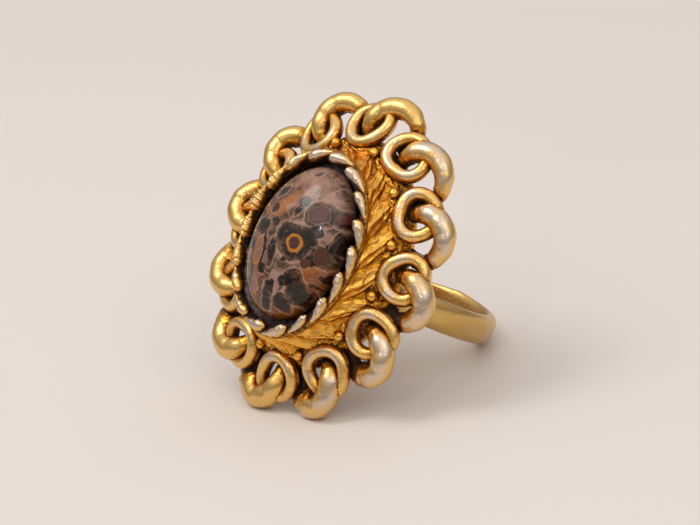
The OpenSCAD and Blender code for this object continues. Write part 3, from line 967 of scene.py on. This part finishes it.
def add_shelter(rays):
    """Adds to each point's patina and painted shade the share of directions in which something stands close by.
    """
    far, lift, gain = 1.5 * MM, 0.03 * MM, 1.25
    verts, polys = [], []
    for ob, _ in PIECES:
        base = len(verts)
        verts += [v.co.copy() for v in ob.data.vertices]
        polys += [tuple(i + base for i in p.vertices) for p in ob.data.polygons]
    tree = BVHTree.FromPolygons(verts, polys)
    dirs = open_directions(rays)
    for ob, node in PIECES:
        if node == "stone":
            continue
        me = ob.data
        shelter = []
        for v in me.vertices:
            n = v.normal
            t = n.orthogonal().normalized()
            b = n.cross(t)
            start = v.co + n * lift
            hit = 0.0
            for dx, dy, dz in dirs:
                place, _, _, distance = tree.ray_cast(start, t * dx + b * dy + n * dz, far)
                if place is not None:
                    hit += 1.0 - 0.5 * distance / far
            shelter.append(min(1.0, hit / rays * gain))
        values = me.attributes["patina_and_shade"].data
        given = [0.0] * len(shelter)
        values.foreach_get("value", given)
        values.foreach_set("value", [1 - (1 - a) * (1 - b) for a, b in zip(shelter, given)])
        me.update()


add_shelter(rays=18)

# The pieces hang from the root body in place of their CAD nodes, which are hidden, and the setting cup gets a
# dark finish; the rope, the links and the other pieces are gilt.
for ob, node in PIECES:
    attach(ob, "root")
    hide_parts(node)
cup_finish = dark_cup()
for slot in NODES["setting_cup"].material_slots:
    slot.material = cup_finish


# ---- Floor ----
def floor_material():
    m, nt, bs = new_mat("table_top")
    n = node_noise(nt, object_coords(nt), 9.0)
    nt.links.new(mix(nt, n, (0.74, 0.685, 0.645), (0.77, 0.715, 0.675)), bs.inputs['Base Color'])
    bs.inputs['Roughness'].default_value = 0.6
    bs.inputs['Specular IOR Level'].default_value = 0.25
    return m


def build_floor(half=3.0):
    me = bpy.data.meshes.new("table_floor")
    corners = [(-half, -half, 0), (half, -half, 0), (half, half, 0), (-half, half, 0)]
    me.from_pydata(corners, [], [(0, 1, 2, 3)])
    me.materials.append(floor_material())
    floor = bpy.data.objects.new("table_floor", me)
    bpy.context.scene.collection.objects.link(floor)


build_floor()

# ---- Light ----
scene = bpy.context.scene
scene.view_settings.view_transform = 'Standard'
scene.view_settings.look = 'None'


def studio_world():
    """A pale room, brightest overhead."""
    world = bpy.data.worlds.new("studio")
    world.use_nodes = True
    nt = world.node_tree
    parts = nt.nodes.new('ShaderNodeSeparateXYZ')
    nt.links.new(nt.nodes.new('ShaderNodeTexCoord').outputs['Generated'], parts.inputs[0])
    height = remap(nt, parts.outputs['Z'], 0.0, 1.0, kind='LINEAR')
    sky = nt.nodes['Background']
    nt.links.new(mix(nt, height, (0.20, 0.185, 0.175), (1.04, 1.01, 0.99)), sky.inputs['Color'])
    sky.inputs['Strength'].default_value = 1.0
    return world


scene.world = studio_world()
# The lamps point at the middle of the head (m).
HEAD = Vector((0.0, -0.004, 0.015))


def heading(azimuth, elevation):
    """Direction from degrees: azimuth 0 is +Y, clockwise seen from above."""
    az, el = math.radians(azimuth), math.radians(elevation)
    return Vector((math.sin(az) * math.cos(el), math.cos(az) * math.cos(el), math.sin(el)))


def lamp(name, azimuth, elevation, distance, size, power, colour):
    """A round soft lamp in a direction from the ring (degrees, m, m, W)."""
    light = bpy.data.lights.new(name, 'AREA')
    light.energy = power
    light.color = colour
    light.shape = 'ELLIPSE'
    light.size = size
    light.size_y = size
    ob = bpy.data.objects.new(name, light)
    ob.location = HEAD + heading(azimuth, elevation) * distance
    ob.rotation_euler = (HEAD - ob.location).to_track_quat('-Z', 'Y').to_euler()
    scene.collection.objects.link(ob)


lamp("soft_window", -134, 61, 0.45, 0.20, 0.52, (1, 0.97, 0.94))
lamp("soft_side", 105, 42, 0.5, 0.34, 0.3, (1, 0.98, 0.96))
lamp("small_lamp", 159, 40, 0.6, 0.03, 0.16, (1, 0.98, 0.95))

# ---- Camera: its place (mm), the way it looks and its roll (degrees), and its lens (mm) ----
CAMERA_AT = (157.942, -167.483, 95.304)
LOOK_AZIMUTH = -43.612
LOOK_ELEVATION = -20.251
ROLL = 7.796
LENS = 139.5


def add_camera():
    cam = bpy.data.cameras.new("camera")
    cam.lens = LENS
    cam.sensor_width = 36.0
    cam.clip_start = 0.01
    ob = bpy.data.objects.new("camera", cam)
    scene.collection.objects.link(ob)
    ahead = heading(LOOK_AZIMUTH, LOOK_ELEVATION)
    level_right = ahead.cross(UP).normalized()
    level_up = level_right.cross(ahead)
    roll = math.radians(ROLL)
    up = level_up * math.cos(roll) + level_right * math.sin(roll)
    turn = Matrix((ahead.cross(up), up, -ahead)).transposed()
    ob.matrix_world = Matrix.Translation(Vector(CAMERA_AT) * MM) @ turn.to_4x4()
    scene.camera = ob


add_camera()
